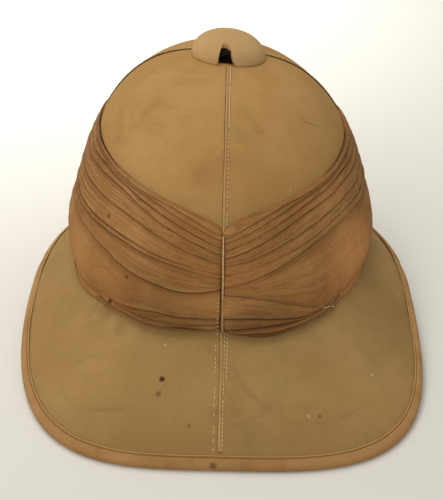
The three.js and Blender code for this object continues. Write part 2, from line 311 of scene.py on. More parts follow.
def drill(name, base, light, dark, green, rib_share=0.34, rib_pitch=1.5):
    """Cotton drill: fine slanting ribs, sun bleached in clouds, with grime in the hollows"""
    cloth = Finish(name, 0.9, base)
    across, along = cloth.lie()
    rib = ((across + along * drill_rib_lean) * (2 * pi * 1000 / rib_pitch)).reckon("SINE")
    yarn = ((along - across * drill_rib_lean) * (2 * pi * 1000 / drill_yarn_pitch)).reckon("SINE")
    where = cloth.at()
    patch = cloth.cloud(where, 45, 4, 0.6, 0.4)
    speckle = cloth.cloud(where, 900, 2, 0.7)
    cloth.lay(cloth.band(cloth.cloud(where, 14, 4, 0.6), 0.35, 0.68), light)
    cloth.lay(cloth.band(patch, 0.5, 0.75) * 0.5, green)
    cloth.lay(cloth.band(cloth.cloud(where, 26, 5, 0.65, 0.8), 0.52, 0.74) * 0.42, dark)
    cloth.lay((rib * 0.5 + 0.5) * cloth.band(speckle, 0.3, 0.7, 0.4, 1) * rib_share, dark)
    cloth.lay(cloth.band(speckle, 0.55, 0.8) * 0.34, light)
    cloth.lay(cloth.band(speckle, 0.45, 0.25) * 0.2, dark)
    cloth.feed("Normal", cloth.relief(rib * 0.6 + yarn * 0.25 + speckle * 0.8, 0.17, 1.0,
                                      cloth.relief(patch, 1.2, 0.35)))
    cloth.feed("Roughness", cloth.band(patch, 0.3, 0.8, 0.95, 0.8))
    return cloth


crown_turns = steps(240, 0, 360)
crown_rows_out, crown_rows_in = 84, 26
crown_loop = crown_rows_out + crown_rows_in + 2


@lru_cache(None)
def crown_ends(turn):
    return crown_along_at_reach(turn, vent_hole_radius)


def crown_dent(turn, height):
    return 0.45 * rough(turn * 1.4, height, 0, 34, 3) * ease((height - crown_base_height) / 12)


def crown_section(turn, row):
    end = crown_ends(turn)
    if row <= crown_rows_out:
        along = end * row / crown_rows_out
        spot = crown_point(turn, along)
        return spot + crown_square(turn, along) * crown_dent(turn, spot.y)
    inner = min(row - crown_rows_out - 1, crown_rows_in)
    along = end * (1 - inner / crown_rows_in)
    spot = crown_point(turn, along) - crown_square(turn, along) * crown_wall
    if inner == 0:
        spot.x = vent_hole_radius
    return spot if row < crown_loop else crown_section(turn, 0)


@lru_cache(None)
def crown_length(row):
    return sum((crown_section(45, i + 1) - crown_section(45, i)).length for i in range(row))


def gore_lie(turn, reach, length, panel_turn):
    i = bisect_right(gore_edges, min(panel_turn, 359)) - 1
    middle = (gore_edges[i] + gore_edges[i + 1]) / 2
    around = azimuth(min(turn, 359.999)) - azimuth(middle)
    return around * reach / 1000, length / 1000


crown_cover = new_object("crown_cover", woven(
    crown_turns, crown_loop,
    lambda turn, row: place(turn, *crown_section(turn, row)),
    lambda turn, row, panel: gore_lie(turn, crown_section(turn, row).x, crown_length(row), panel)))
crown_drill = drill("crown_drill", (178, 136, 78), (190, 149, 92), (143, 104, 55), (158, 129, 72))
crown_drill.mark((-6.5, -61.5, 136.5), 19, 0.1, 0.14, (120, 78, 40))
crown_drill.mark((-14, -62, 134), 13, 0.1, 0.14, (120, 78, 40))
for start, end, radius in [((45.8, -16.2, 151.7), (50.2, -15.8, 149.6), 1.2),
                           ((50.6, -17.6, 148.4), (54.6, -16, 146.2), 1.4),
                           ((55, -15.9, 146), (58.5, -14, 143.9), 1.2)]:
    for share in (0, 0.33, 0.67, 1):
        crown_drill.mark(Vector(start).lerp(Vector(end), share), radius, 0.1, 0.4, (96, 66, 38))
crown_drill.mark((41.2, -59.9, 123.4), 1.2, 0.3, 0.7, (206, 172, 122))
# Painted shade: the crown is made darker from 138 mm down to 105 mm and below, where its steeper wall gets
# less light from above.
crown_drill.lay(crown_drill.below("Z", 105, 138) * 0.4, (134, 104, 60))
settle(crown_cover, crown_drill, "drill", "crown")

# Brim. The same pith and drill, in one broad ring that slopes out from the crown, long at the
# back and short in front. The cover is cut in two halves that meet at the back and front seams.
# The underside stays plain.
helmet_half_length = 172.5
helmet_half_width = 135
brim_thickness = 3.5
brim_widest_forward = -9.6
brim_back_side_exponent = 3.55
brim_back_left_exponent = 2.65
brim_back_right_exponent = 3.75
brim_front_exponent = 1.9
brim_side_rise = 13.7
brim_flare = radians(9)
resting_length = 9
tape_thickness = 1.2
tape_roll_flat = 20
tape_roll = brim_thickness / 2 + cloth_clearance + tape_thickness


@lru_cache(None)
def outline_reach(turn):
    out_x, out_y, _ = crown_base(turn)

    def beyond(reach):
        x = crown_base_aside + out_x * reach
        y = crown_base_forward + out_y * reach - brim_widest_forward
        back = y < 0
        depth = helmet_half_length + (brim_widest_forward if back else -brim_widest_forward)
        back_exponent = brim_back_left_exponent if x < 0 else brim_back_right_exponent
        return (abs(x / helmet_half_width) ** (brim_back_side_exponent if back else brim_front_exponent)
                + abs(y / depth) ** (back_exponent if back else brim_front_exponent) - 1)

    return solve(beyond, 0, 2 * helmet_half_length)


def edge_height(turn):
    y = crown_base_forward + crown_base(turn)[1] * outline_reach(turn)
    room = helmet_half_length + copysign(crown_base_forward, crown_base_forward - y)
    share = held((helmet_half_length - abs(y) - resting_length) / (room - resting_length))
    return brim_side_rise * sin(share * pi / 2) ** 2


@lru_cache(None)
def brim_section(turn):
    start = Vector((crown_base(turn)[2], crown_base_height - cloth_clearance))
    edge = Vector((outline_reach(turn) - tape_roll,
                   edge_height(turn) + tape_roll * cos(radians(tape_roll_flat))))
    slope = atan2(start.y - edge.y, edge.x - start.x) - brim_flare
    down, up = Vector((cos(slope), -sin(slope))), Vector((sin(slope), cos(slope)))
    end = edge + up * brim_thickness / 2
    bend = end - down * (end - start).length / (2 * cos(brim_flare))
    return start, bend, end, edge, slope, down, up


def brim_skin(turn, share, lift):
    start, bend, end, *_ = brim_section(turn)
    spot = start * (1 - share) ** 2 + bend * 2 * share * (1 - share) + end * share ** 2
    run = ((bend - start) * (1 - share) + (end - bend) * share).normalized()
    return spot + Vector((-run.y, run.x)) * lift


brim_turns = steps(288, 0, 360)
brim_rows_under, brim_rows_top = 16, 46
brim_loop = brim_rows_under + brim_rows_top + 4


def brim_dent(turn, share):
    """Soft dents of a brim that has been handled, nothing at the crown and the tape"""
    spot = place(turn, *brim_skin(turn, share, 0)) * 1000
    dent = 0.9 * rough(spot.x, spot.y, 0, 46, 5) + 0.35 * rough(spot.x, spot.y, 0, 17, 9)
    for (x0, y0), (x1, y1), width, depth in brim_creases:
        run = Vector((x1 - x0, y1 - y0))
        along = held(Vector((spot.x - x0, spot.y - y0)).dot(run) / run.length_squared)
        away = (Vector((spot.x, spot.y)) - Vector((x0, y0)) - run * along).length
        dent += depth * hump(away, width)
    return dent * ease(share / 0.15) * ease((1 - share) / 0.1)


brim_creases = [((-123, -53), (-104, -54), 1.6, -0.7), ((-120, -59), (-104, -60), 3, 0.5),
                ((90, -51), (124, -55), 7, 0.9), ((-100, -118), (-40, -142), 8, -0.6),
                ((30, -150), (90, -128), 9, -0.5)]


@lru_cache(None)
def brim_spot(turn, row):
    shelf, inner = crown_base_height - cloth_clearance, crown_base(turn)[2] - crown_wall
    if row in (0, brim_loop):
        return Vector((inner, shelf))
    if row == 1:
        return Vector((inner, shelf - brim_thickness / 2))
    if row <= brim_rows_under + 2:
        return brim_skin(turn, (row - 2) / brim_rows_under, -brim_thickness)
    share = 1 - (row - brim_rows_under - 3) / brim_rows_top
    return brim_skin(turn, share, brim_dent(turn, share))


@lru_cache(None)
def brim_length(row):
    return sum((brim_spot(0, i + 1) - brim_spot(0, i)).length for i in range(row))


def half_lie(turn, reach, length, panel_turn):
    around = azimuth(min(turn, 359.999)) - azimuth(90 if panel_turn < 180 else 270)
    return around * reach / 1000, length / 1000


brim_cover = new_object("brim_cover", woven(
    brim_turns, brim_loop,
    lambda turn, row: place(turn, *brim_spot(turn, row)),
    lambda turn, row, panel: half_lie(turn, brim_spot(turn, row).x, brim_length(row), panel)))
brim_drill = drill("brim_drill", (166, 131, 78), (178, 143, 90), (140, 106, 60), (152, 126, 72))
for middle, radius, strength, swatch in [
        ((-33.6, -126.3, 29), 2.6, 0.95, (62, 40, 24)),
        ((-35.4, -133.8, 24), 2.6, 0.6, (96, 70, 40)),
        ((-16.4, -150.4, 15.1), 1.7, 0.6, (98, 70, 40)),
        ((61.2, -141.6, 16.4), 1.8, 0.7, (92, 64, 34)),
        ((54.5, -142.1, 17.1), 1.3, 0.9, (214, 190, 142)),
        ((95.9, -109.1, 20.5), 1.3, 0.8, (206, 182, 134)),
        ((-32.6, -108.9, 41.2), 1.3, 0.6, (206, 182, 134)),
        ((-73, -81, 43.5), 8, 0.25, (104, 80, 48)),
        ((-62, -94, 41), 7, 0.25, (104, 80, 48))]:
    brim_drill.mark(middle, radius, 0.3, strength, swatch)
# Painted shade: two faint broken dark lines along the dents across the back of the brim.
for x, y, radius, width in [(-61, -98, 43, 2.2), (52, -98, 48.5, 2.4)]:
    away = brim_drill.away(brim_drill.stretched(brim_drill.at(), (1.0, 1.0, 0.0)), (x, y, 0))
    wander = brim_drill.cloud(brim_drill.at(), 60) * 0.006
    off = (away + wander - (radius / 1000 + 0.003)).reckon("ABSOLUTE")
    line = brim_drill.band(off, 0, width / 1000, 1, 0)
    broken = brim_drill.band(brim_drill.cloud(brim_drill.at(), 30), 0.4, 0.6)
    brim_drill.lay(line * broken * brim_drill.below("Y", -130, -115) * 0.24, (112, 86, 50))
# Painted shade: a broad darker patch on the right side of the brim, away from the light.
brim_drill.mark((122, -62, 30), 55, 0.2, 0.32, (116, 88, 46))
# Painted shade: the back of the brim is darker towards its edge, from 125 mm to 165 mm behind the middle,
# where it gets less light.
brim_drill.lay(brim_drill.below("Y", -165, -125) * 0.3, (120, 92, 50))
settle(brim_cover, brim_drill, "drill", "brim")

# Lapped seams. Where two gores or the two halves of the brim's cover meet, one edge is turned
# under, laid over the other and sewn down with one row of pale thread, so the seam has a sharp
# step on the wearer's left and a row of stitches on its right.
seam_width = 3.6
seam_thickness = 0.9
seam_edge_aside = 0.1
seam_edge_lean = 1.3
seam_stitch_beside = 2.8
stitch_pitch = 2.6
stitch_length = 2.0
thread_radius = 0.27
crown_seam_hidden = 3
crown_seam_top_reach = 21.5
brim_seam_foot_height = 49
brim_seam_edge_gap = 6.5
pagri_top_back = 106
pagri_top_side = 130
pagri_top_front = 122
brim_stitch_rows = [
    {"beside": 2.8, "lift": 0.45, "missing": 0.36, "seed": 11, "first": 0},
    {"beside": 4.4, "lift": 0.08, "missing": 0.3, "seed": 13, "first": 42},
    {"beside": -2.4, "lift": 0.04, "missing": 0.5, "seed": 17, "first": 0}]


def seam_profile(share):
    """Lift of a lapped seam from its turned edge at 0 to where it sinks into the cloth at 1"""
    if share < 0.1:
        return sqrt(share / 0.1)
    return mix(1 + 0.12 * sin((share - 0.1) * 8), -0.2, ease((share - 0.3) / 0.7))


def lapped_seam(name, turn, spots, squares, side, finish, node_name):
    """A strip up one section, through spots, with squares pointing off the cloth there"""
    rows, columns = 16, len(spots) - 1
    lengths = [0.0]
    for i in range(columns):
        lengths.append(lengths[-1] + (spots[i + 1] - spots[i]).length)

    def share_at(row):
        row = row % (2 * rows + 2)
        return ((row if row <= rows else 2 * rows + 1 - row) / rows) ** 1.7

    def spot(column, row):
        i, share = round(column), share_at(row)
        uneven = 1 + 0.2 * rough(i * 2.0, share, 0, 5, 2)
        lift = -0.3 if row > rows else seam_thickness * seam_profile(share) * uneven
        wander = 0.22 * rough(lengths[i], 0, 0, 20, 4)
        return seam_place(turn, spots[i] + squares[i] * lift, side, seam_width * share + wander)

    # Painted shade: dark along the seam's turned edge, under its step, and a little wider near the top.
    def seam_edge_shade(column, row):
        share = share_at(row) if row <= rows else 0
        wide = 0.1 + 0.1 * ease((spots[round(column)].y - 120) / 40)
        return (1 - ease((share - 0.02) / wide)) * (0.85 + 0.3 * rough(lengths[round(column)], 3, 0, 9, 6))

    strip = woven([float(i) for i in range(columns + 1)], 2 * rows + 2,
                  lambda column, row: spot(column, row % (2 * rows + 2)),
                  lambda column, row, panel: (row * seam_width / rows / 1000,
                                              lengths[round(column)] / 1000),
                  {"seam_edge_shade": seam_edge_shade,
                   "wear_and_highlight": lambda column, row: hump(share_at(row) - 0.2, 0.1) * (row <= rows)})
    close_ends(strip)
    bmesh.ops.recalc_face_normals(strip, faces=strip.faces)
    settle(new_object(name, strip), finish, "drill", node_name)


def seam_place(turn, point, side, beside):
    """A place some way to the right of a seam's turned edge, which leans a little as it climbs"""
    rise = held((point.y - crown_base_height) / (crown_apex_height - crown_base_height))
    return place(turn, point.x, point.y, side * (beside + seam_edge_aside - seam_edge_lean * rise))


def squared(off, run):
    """The way off the cloth, made square to the run of a thread"""
    return (off - run * off.dot(run)).normalized()


def stitch(cloth, middle, run, off, length, radius):
    """One stitch, in millimetres: a short thread that dips into the cloth at both ends"""
    made = bmesh.ops.create_uvsphere(cloth, u_segments=6, v_segments=5, radius=1)["verts"]
    square = squared(off, run)
    turned = Matrix((run.cross(square).normalized(), square, run)).transposed().to_4x4()
    sized = Matrix.Diagonal((radius / 1000, radius / 1000 * 0.8, length / 2000, 1))
    bmesh.ops.transform(cloth, matrix=Matrix.Translation(middle) @ turned @ sized, verts=made)


def sew(thread_bag, turn, spots, squares, side, beside, lift, missing, seed):
    """Stitches in a row beside a section's seam, with a few worn away"""
    travelled, due = 0.0, stitch_pitch / 2
    for i in range(len(spots) - 1):
        here = spots[i + 1] - spots[i]
        half = here.normalized() * 0.5
        while due < travelled + here.length:
            point = spots[i] + here * ((due - travelled) / here.length) + squares[i] * lift
            if rough(due, 0, 0, 3.1, seed) > missing * 2 - 1:
                start, end, above = [seam_place(turn, there, side, beside)
                                     for there in (point - half, point + half, point + squares[i])]
                run, middle = (end - start).normalized(), (start + end) / 2
                sway = 0.12 * rough(due, 4, 0, 2.3, seed) / 1000
                taut = 1 + 0.5 * ease((point.y - 148) / 10)
                stitch(thread_bag, middle + run.cross(squared(above - middle, run)) * sway, run,
                       above - middle,
                       stitch_length * taut * (1 + 0.15 * rough(due, 0, 2, 1.7, seed)),
                       thread_radius * taut ** 0.5)
            due += stitch_pitch
        travelled += here.length


def pagri_top(turn):
    from_back = min(turn, 360 - turn)
    if from_back < 90:
        return mix(pagri_top_back, pagri_top_side, (from_back / 90) ** 0.41)
    return mix(pagri_top_side, pagri_top_front, ease((from_back - 90) / 50))


def crown_run(turn, count=110):
    low = pagri_top(turn) - crown_seam_hidden
    bottom = solve(lambda along: crown_point(turn, along).y - low, 0, 1)
    top = crown_along_at_reach(turn, crown_seam_top_reach)
    alongs = steps(count, bottom, top)
    squares = [crown_square(turn, along) for along in alongs]
    spots = [crown_point(turn, along) for along in alongs]
    return [spot + square * crown_dent(turn, spot.y) for spot, square in zip(spots, squares)], squares


def brim_run(turn, count=70):
    top = solve(lambda share: brim_seam_foot_height - brim_skin(turn, share, 0).y, 0, 1)
    length = (brim_skin(turn, 1, 0) - brim_skin(turn, top, 0)).length
    shares = steps(count, 1 - brim_seam_edge_gap / length, top)
    return ([brim_skin(turn, share, brim_dent(turn, share)) for share in shares],
            [(brim_skin(turn, share, 1) - brim_skin(turn, share, 0)).normalized() for share in shares])


seam_drill = drill("seam_drill", (174, 133, 80), (186, 146, 94), (140, 102, 58), (158, 127, 74))
# A pale line on the seam's raised ridge: rubbed wear, with a painted highlight.
seam_drill.lay(seam_drill.attribute("wear_and_highlight") * 0.45, (206, 170, 116))
# Painted shade along the seam's turned edge.
seam_drill.lay(seam_drill.attribute("seam_edge_shade") * 0.92, (58, 38, 20))
crown_thread, brim_thread = bmesh.new(), bmesh.new()
for name, turn, side in [("crown_seam_back", 0, 1), ("crown_seam_right", side_seam_turn, 1),
                         ("crown_seam_front", 180, -1), ("crown_seam_left", 360 - side_seam_turn, -1)]:
    spots, squares = crown_run(turn)
    lapped_seam(name + "_cloth", turn, spots, squares, side, seam_drill, name)
    sew(crown_thread, turn, spots, squares, side, seam_stitch_beside, 0.45, 0.3, 2 + turn)
for name, turn, side in [("brim_seam_back", 0, 1), ("brim_seam_front", 180, -1)]:
    spots, squares = brim_run(turn)
    lapped_seam(name + "_cloth", turn, spots, squares, side, seam_drill, name)
    for row in brim_stitch_rows:
        sew(brim_thread, turn, spots[row["first"]:], squares[row["first"]:], side,
            row["beside"], row["lift"], row["missing"], row["seed"] + turn)

pale_thread = Finish("pale_thread", 0.7, (204, 174, 122), 0.2)
pale_thread.lay(pale_thread.cloud(pale_thread.at(), 400), (234, 210, 162))
for name, thread_bag in [("crown_stitches", crown_thread), ("brim_stitches", brim_thread)]:
    settle(new_object(name, thread_bag), pale_thread, "drill")

# Binding. A cotton tape folded over the brim's raw edge and sewn through near its inner edge, so
# it has a full roll outside, a fine dimpled line where the thread pulls it in, and a thin free
# edge that stands a little off the brim.
tape_turns = steps(360, 0, 360)
tape_stitch_back = 3.4
tape_stitch_sink = 0.6
tape_stitch_count = 500
tape_stitch_length = 1.15
tape_thread_radius = 0.17
tape_seen_width = 4.8
tape_backs = (3.8, 3.6, 3.4, 3.2, 3.0, 2.7, 2.2, 1.6, 0.8)
tape_free_backs = (0, 0.15, 0.45, 0.75)
# Rows painted dark as painted shade, in the stitch grooves and along the free edge, and rows painted pale as
# a painted highlight just inside the free edge.
tape_shaded_rows = {5: 0.5, 6: 1.0, 7: 0.5, 33: 0.5, 34: 1.0, 35: 0.5, 40: 0.6}
tape_highlight_rows = (38, 39)


@lru_cache(None)
def tape_section(turn):
    """From the free edge below round the roll to the free edge above, and back along the inside"""
    *_, edge, slope, down, up = brim_section(turn)
    inner = brim_thickness / 2 + cloth_clearance
    puff = 0.25 * rough(turn * 2.2, 0, 0, 9, 6)
    free = tape_seen_width + 0.25 * rough(turn * 2.2, 0, 0, 13, 16)

    def leg(lift, back):
        return edge + up * lift - down * back

    def lift_at(back):
        groove = 0.75 * hump(back - tape_stitch_back, 0.5)
        thin = 0.5 * ease((back - free + 0.8) / 0.7)
        return tape_roll + 0.3 * hump(back - 1.6, 1.5) - groove - thin + puff * 0.4

    backs = [free - back for back in tape_free_backs] + list(tape_backs)
    outer = [leg(-lift_at(back), back) for back in backs]
    low = edge.y - tape_roll * cos(radians(tape_roll_flat))
    for angle in steps(14, -pi / 2 - slope, pi / 2 - slope):
        spot = edge + Vector((cos(angle), sin(angle))) * tape_roll
        outer.append(Vector((spot.x, max(spot.y, low))))
    outer += [leg(lift_at(back), back) for back in reversed(backs)]
    inside = [leg(inner, back) for back in (free, 2.5, -0.2)]
    return outer + inside + [leg(-inner, back) for back in (-0.2, 2.5, free)]


tape_rows = len(tape_section(0.0))
tape_round = {0.0: 0.0}
for low, high in zip(tape_turns, tape_turns[1:]):
    run = place(high, outline_reach(high), 0) - place(low, outline_reach(low), 0)
    tape_round[high] = tape_round[low] + run.length
binding = new_object("binding_tape", woven(
    tape_turns, tape_rows,
    lambda turn, row: place(turn, *tape_section(turn)[row % tape_rows]),
    lambda turn, row, panel: (tape_round[turn], row * 0.0011),
    {"groove": lambda turn, row: tape_shaded_rows.get(row % tape_rows, 0.0),
     "wear_and_highlight": lambda turn, row: float(row % tape_rows in tape_highlight_rows)}))
tape_cloth = Finish("binding_tape", 0.9, (166, 126, 76))
ridge = (tape_cloth.lie()[0] * (2 * pi * 1000 / 1.1)).reckon("SINE")
where = tape_cloth.at()
fine = tape_cloth.cloud(where, 700, 2, 0.7)
patch = tape_cloth.cloud(where, 38, 4, 0.6)
tape_cloth.lay(tape_cloth.band(patch, 0.35, 0.7), (182, 142, 92))
tape_cloth.lay(tape_cloth.band(tape_cloth.cloud(where, 60, 5, 0.7, 0.6), 0.5, 0.72) * 0.6, (150, 102, 58))
tape_cloth.lay((ridge * 0.5 + 0.5) * 0.12 + tape_cloth.band(fine, 0.5, 0.8) * 0.15, (126, 88, 48))
tape_cloth.mark((-1.5, -172, 5), 3.2, 0.2, 0.8, (78, 50, 28))
# Painted shade: the tape is darker towards the back, where it gets less light.
tape_cloth.lay(tape_cloth.below("Y", -165, -125) * 0.3, (128, 86, 42))
# Painted highlight: a pale line just inside the tape's free edge.
tape_cloth.lay(tape_cloth.attribute("wear_and_highlight") * 0.4, (204, 166, 112))
# Painted shade: dark in the stitch grooves and along the free edge.
tape_cloth.lay(tape_cloth.attribute("groove") * 0.7, (70, 46, 24))
tape_cloth.feed("Normal", tape_cloth.relief(ridge * 0.4 + fine * 0.9, 0.1, 0.8,
                                            tape_cloth.relief(patch, 0.8, 0.4)))
settle(binding, tape_cloth, "binding_tape", "brim_binding")


def tape_seam(turn, lift=0.0):
    """A place in the groove where the tape is sewn through, or some lift off it"""
    *_, edge, slope, down, up = brim_section(turn)
    return place(turn, *(edge + up * (tape_roll - tape_stitch_sink + lift) - down * tape_stitch_back))


tape_thread = bmesh.new()
for turn in steps(tape_stitch_count, 0, 360)[:-1]:
    middle = tape_seam(turn)
    run = (tape_seam(turn + 0.3) - middle).normalized()
    stitch(tape_thread, middle, run, tape_seam(turn, 1) - middle, tape_stitch_length,
           tape_thread_radius)
tan_thread = Finish("tan_thread", 0.8, (136, 100, 58))
tan_thread.lay(tan_thread.cloud(tan_thread.at(), 400), (168, 130, 80))
settle(new_object("binding_stitches", tape_thread), tan_thread, "binding_tape")

# Pagri. A long strip of fine cotton wound many times round the crown and pressed into flat folds,
# crossed so that it dips in a V at the back, where its ends meet under an upright hem. Each fold
# is a layer whose lower edge is turned under and laps the layer below it.
pagri_foot_thickness = 6.7
pagri_top_thickness = 2.2
pagri_loose_thickness = 1
fold_press = 0.62
drape_height = 24
drape_thickness = 5.4
pleat_pitch = 1.5
foot_turns = (0, 6, 14, 25, 35, 46, 58, 74, 90, 180, 270, 288, 303, 314, 326, 338, 352, 360)
foot_heights = (50.5, 48, 45.4, 46.2, 48, 47.4, 46.8, 48, 48.5, 47, 48.5, 48.4, 44.5, 45.6, 48, 47, 50, 51.4)
fold_turns = (0, 9, 18, 27, 36, 46, 60, 90, 180, 270, 297, 314, 325, 338, 348, 360)
fold_heights = {
    "foot_roll": (
        50.4, 50, 48.2, 49.2, 48.6, 47, 47, 50, 50, 50, 48, 48, 50, 49.4, 53, 53.4),
    "second_roll": (
        53, 53.6, 52.6, 51.4, 49.8, 48.4, 49, 52, 52, 52, 50, 50, 51.8, 52, 54.4, 56),
    "low_roll": (
        61, 60.4, 57.6, 53.6, 51, 50, 51.6, 55, 56, 56, 53, 53.4, 54.4, 58.6, 60, 61),
    "slipped": (
        73.6, 71.6, 67, 60.4, 53, 50.6, 54, 60, 68, 85.6, 83.8, 82, 78.2, 74.8, 74, 77),
    "sweep": (
        78, 81, 85, 89.6, 93.6, 96.4, 97, 92, 86, 90, 90.4, 91.8, 91.2, 88.4, 86.4, 82.4),
    "double": (
        84, 87, 90.4, 94, 97.2, 100, 101, 98, 90, 93, 93.4, 94.6, 93.8, 90.8, 88.6, 85),
    "broad": (
        89.6, 92.6, 96.6, 100.6, 103.8, 106, 108, 107, 98, 105, 107, 107.6, 106, 101, 96.4, 91),
    "crossing": (
        93.4, 98, 103.6, 108.6, 112, 114, 116, 114, 103, 114.6, 117, 117.4, 114.4, 108, 103, 96.4),
    "upper": (
        97.6, 102.6, 108.2, 113, 116.4, 118.6, 121, 120.4, 110, 120, 121.6, 120.6, 117.6, 112.4, 107, 99.6),
    "high": (
        101.4, 107, 112.8, 117.4, 120, 122, 124.6, 125, 115, 125, 125.6, 123.8, 120.8, 116, 111, 103.4),
    "edge": (
        104.4, 110.4, 116, 120, 122.6, 124.6, 127.2, 128, 119, 128, 128, 126, 123.4, 118.8, 114, 106),
}
fold_depths = {
    "foot_roll":   (1.8, 2.2, 2.5, 2.3, 1.4, 0.1, 0, 0.2, 0.5, 0.1, 0, 0, 0.2, 1.2, 2, 2.1),
    "second_roll": (1.8, 2.2, 2.3, 2.1, 1.3, 0.1, 0, 0.1, 0.3, 0.1, 0, 0, 0.1, 0.2, 0.4, 0.6),
    "low_roll":    (2.5, 2.7, 2.7, 2.5, 1.6, 0.2, 0, 0.2, 0.5, 0.1, 0, 0.1, 1.1, 2.1, 2.4, 2.5),
    "slipped":     (-0.6, -0.6, -0.55, -0.5, -0.4, -0.1, 0.1, 0.3, 1, 2.1, 2.4, 2.5, 2.4, 2.1, 1.4, 0.8),
    "sweep":       (0.3, 0.5, 0.8, 1.3, 1.8, 2.2, 2.3, 2.3, 1.3, 2, 2.2, 2.2, 1.9, 1.3, 0.6, 0.3),
    "double":      (0.3, 0.3, 0.3, 0.5, 0.7, 0.9, 1, 1.1, 0.8, 1.2, 1.3, 1.4, 1.2, 0.9, 0.5, 0.3),
    "broad":       (0.6, 0.9, 1, 1.2, 1.5, 1.7, 1.8, 1.6, 1.1, 1.3, 0.9, 0.6, 0.7, 0.8, 0.8, 0.8),
    "crossing":    (1, 1.2, 1.2, 1.1, 1.3, 1.5, 1.7, 1.6, 1.1, 1.4, 1.2, 0.9, 1, 1.4, 1.6, 1.7),
    "upper":       (0.7, 0.9, 0.9, 0.9, 1.2, 1.4, 1.6, 1.6, 1.1, 1.6, 1.3, 0.9, 0.8, 0.9, 0.8, 0.7),
    "high":        (0.7, 0.9, 1, 1.2, 1.5, 1.8, 2, 1.9, 1.1, 2, 1.8, 1.3, 1.1, 0.9, 0.9, 0.9),
    "edge":        (0.7, 1, 1.1, 1.2, 1.6, 2, 2, 1.8, 1.1, 1.9, 1.8, 1.5, 1.3, 1.2, 1.1, 0.9),
}


def along_turns(values, turn, turns=fold_turns):
    """A smooth run through the values at those turns"""
    i = min(max(bisect_right(turns, turn), 1), len(turns) - 1)
    low, high = turns[i - 1], turns[i]

    def lean(j):
        before, after = max(j - 1, 0), min(j + 1, len(values) - 1)
        return (values[after] - values[before]) / (turns[after] - turns[before])

    t, span = (turn - low) / (high - low), high - low
    return ((2 * t ** 3 - 3 * t ** 2 + 1) * values[i - 1] + (t ** 3 - 2 * t ** 2 + t) * span * lean(i - 1)
            + (3 * t ** 2 - 2 * t ** 3) * values[i] + (t ** 3 - t ** 2) * span * lean(i))


@lru_cache(None)
def pagri_foot(turn):
    return along_turns(foot_heights, turn, foot_turns) + 0.35 * rough(turn * 2, 0, 0, 9, 17)


@lru_cache(None)
def body_section(turn):
    """Heights from the brim up the crown, with the cloth's reach and the way off it there"""
    rows = []
    for share in steps(40, 0.6, 0):
        spot, off = brim_skin(turn, share, 0), brim_skin(turn, share, 1)
        below = held((crown_base_height - cloth_clearance - spot.y) / 8)
        rows.append((spot.y, spot.x, Vector((1, 0)).lerp(off - spot, below).normalized()))
    for along in steps(60, 0, 0.75):
        spot = crown_point(turn, along)
        rows.append((spot.y, spot.x, Vector((1, 0))))
    return [row[0] for row in rows], rows


def loose(turn):
    """1 at the sides, where the cloth is not rolled at its foot and hangs clear of the corner"""
    right = ease((turn - 38) / 10) * ease((112 - turn) / 20)
    return right + ease((turn - 248) / 20) * ease((324 - turn) / 10)


def foot_thickness(turn):
    return mix(pagri_foot_thickness, pagri_loose_thickness, loose(turn))


def body_spot(turn, height, lift):
    heights, rows = body_section(turn)
    i = min(max(bisect_right(heights, height), 1), len(rows) - 1)
    low, high = rows[i - 1], rows[i]
    share = (height - low[0]) / max(high[0] - low[0], 1e-6)
    off = low[2].lerp(high[2], held(share)).normalized()
    return Vector((mix(low[1], high[1], share), height)) + off * lift


fold_names = list(fold_heights)
fold_gap = 1.1
belly_shares = (0.2, 0.4, 0.6, 0.8)


def fold_levels(turn):
    """The heights of the folds at a turn, each at least a gap above the one below, and the top"""
    levels = []
    for name in fold_names:
        height = along_turns(fold_heights[name], turn) + 0.3 * rough(turn * 1.8, len(levels) * 9.1, 0, 14, 7)
        levels.append(max(height, (levels[-1] if levels else pagri_foot(turn) + 1.2) + fold_gap))
    levels.append(pagri_top(turn))
    for i in range(len(levels) - 2, -1, -1):
        levels[i] = min(levels[i], levels[i + 1] - fold_gap)
    return levels


def lapped_edge(height, size, thick, crease_shade, room):
    """A fold's turned edge, which overhangs the layer below it"""
    # Each row holds a height, a lift, painted crease shade and painted highlight on the lip.
    return [(height + 0.16 * size, thick - 0.55 * size, crease_shade, 0),
            (height - 0.1 * size, thick - 0.3 * size, crease_shade, 0),
            (height - 0.16 * size, thick + 0.08 * size, crease_shade * 0.5, 0.2 * crease_shade),
            (height - 0.02 * size, thick + 0.36 * size, 0, 0.8 * crease_shade),
            (height + min(0.3 * size, 0.12 * room), thick + 0.5 * size, 0, crease_shade)]


def sunk_edge(height, size, thick, crease_shade):
    """The upper edge of a layer that ends over the next one, with the step the other way"""
    # The step is painted dark as painted shade, and its proud edge pale as painted highlight.
    return [(height - 0.5 * size, thick + 0.42 * size, 0, 0.8),
            (height - 0.12 * size, thick + 0.45 * size, 0, 1),
            (height + 0.1 * size, thick + 0.3 * size, 0.1, 0.8),
            (height + 0.12 * size, thick - 0.1 * size, crease_shade, 0),
            (height + 0.1 * size, thick - 0.5 * size, crease_shade, 0)]


